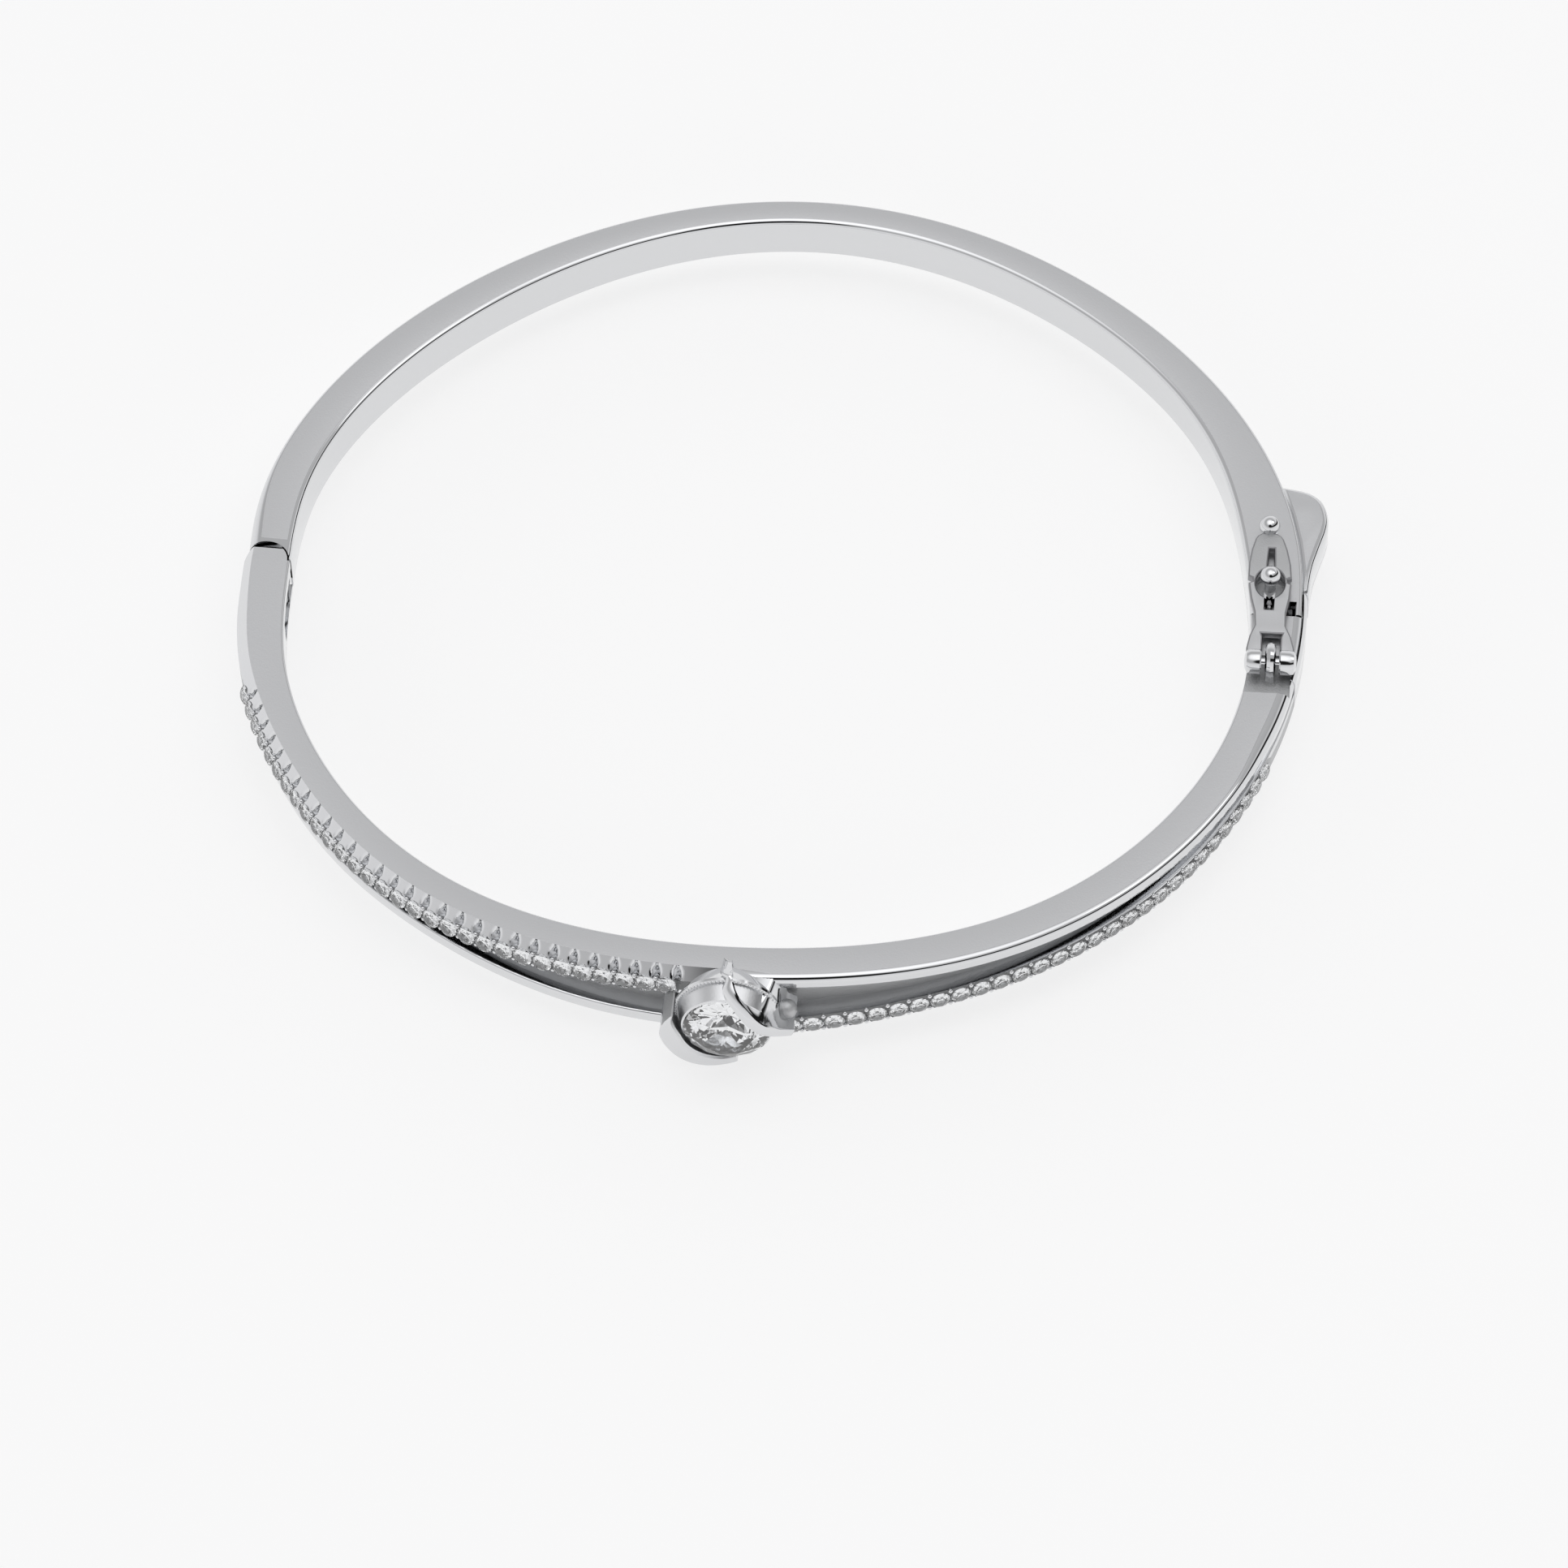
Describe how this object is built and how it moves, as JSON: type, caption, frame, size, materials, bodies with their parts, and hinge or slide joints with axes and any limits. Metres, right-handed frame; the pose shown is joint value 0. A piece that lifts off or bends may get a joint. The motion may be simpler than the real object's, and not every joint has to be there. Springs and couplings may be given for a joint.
{
  "type": "bangle bracelet",
  "caption": "Hinged silver-coloured bangle: plain back half, front half of two thin rails set with small clear stones, and a raised round centre stone between two crescents.",
  "frame": {"origin": "middle of the footprint, at the level of the lowest point, which is the lower edge of the centre setting", "axes": "+Z along the wrist axis, up when the bangle lies flat; -Y towards the centre stone; +X towards the clasp; -X towards the hinge"},
  "size_m": [0.0638, 0.0628, 0.0071],
  "materials": {
    "satin_silver": "fine matt grain, rhodium-plated silver",
    "polished_silver": "mirror polish, rhodium-plated silver",
    "clear_stone": "colourless faceted brilliant, cubic zirconia or similar"
  },
  "bodies": {
    "back": {"back_half": "satin_silver", "hinge_knuckle": "satin_silver", "clasp_strike": "satin_silver", "catch_stud": "polished_silver", "thumb_tab": "satin_silver"},
    "front": {"front_half": "satin_silver", "hinge_pin": "satin_silver", "pave_rail_upper": "polished_silver", "polished_rail_lower": "polished_silver", "polished_rail_upper": "polished_silver", "pave_rail_lower": "polished_silver", "pave_stones_upper": "clear_stone", "pave_stones_lower": "clear_stone", "collet": "polished_silver", "center_stone": "clear_stone", "crescent_lower": "polished_silver", "crescent_upper": "polished_silver", "tongue_base": "satin_silver", "catch_lug": "polished_silver", "catch_pin": "satin_silver"},
    "tongue_spring": {"tongue_leaf": "satin_silver"},
    "catch": {"catch_plate": "satin_silver", "catch_tip": "polished_silver"}
  },
  "joints": [
    {"name": "main_hinge", "type": "hinge", "parent": "back", "child": "front", "pos_m": [-0.03033, 0.00076, 0.00356], "axis": [0, 0, -1], "range_deg": [0, 40]},
    {"name": "tongue_press", "type": "hinge", "parent": "front", "child": "tongue_spring", "pos_m": [0.02927, 0.00517, 0.00356], "axis": [0, 0, -1], "range_deg": [0, 8], "stiffness_Nm_per_rad": 0.01},
    {"name": "safety_catch", "type": "hinge", "parent": "front", "child": "catch", "pos_m": [0.02897, -0.00392, 0.00556], "axis": [1, 0, 0], "range_deg": [0, 140]}
  ]
}
